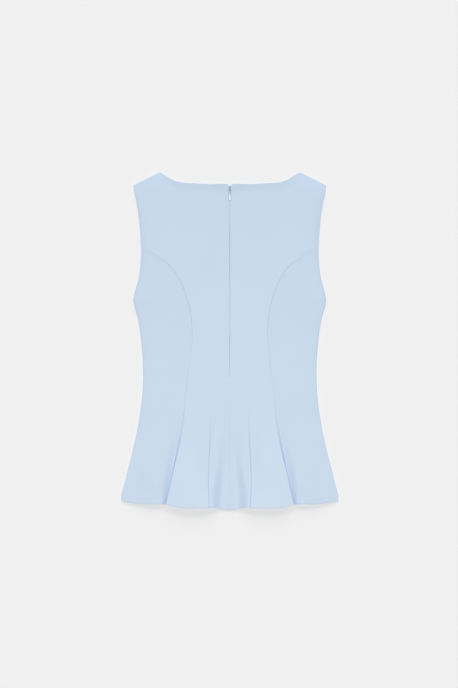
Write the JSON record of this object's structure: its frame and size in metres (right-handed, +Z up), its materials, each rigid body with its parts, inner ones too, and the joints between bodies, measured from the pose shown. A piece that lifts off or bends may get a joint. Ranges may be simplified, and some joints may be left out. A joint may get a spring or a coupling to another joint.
{
  "type": "peplum top",
  "caption": "Sleeveless peplum top laid flat with its back up: boat neckline, curved princess seams, an invisible zip down the middle and a fluted flare below the waist.",
  "frame": {"origin": "on the table, under the middle of the top's length and width", "axes": "+Y towards the neckline, +X to the wearer's right with the back up, +Z up from the table"},
  "size_m": [0.4244, 0.66, 0.0115],
  "materials": {
    "crepe": "matt pale blue double crepe with a fine dry grain",
    "zip_tape": "matt woven tape with a fine coil down its middle, dyed to match",
    "zip_enamel": "smooth pale blue enamel"
  },
  "bodies": {
    "top": {"front": "crepe", "back_centre_left": "crepe", "back_centre_right": "crepe", "back_side_left": "crepe", "back_side_right": "crepe", "zip_tape": "zip_tape", "zip_slider": "zip_enamel"},
    "pull": {"zip_pull": "zip_enamel"}
  },
  "joints": [
    {"name": "pull_hinge", "type": "hinge", "parent": "top", "child": "pull", "pos_m": [0, 0.2965, 0.006], "axis": [-1, 0, 0], "range_deg": [0, 165]}
  ]
}
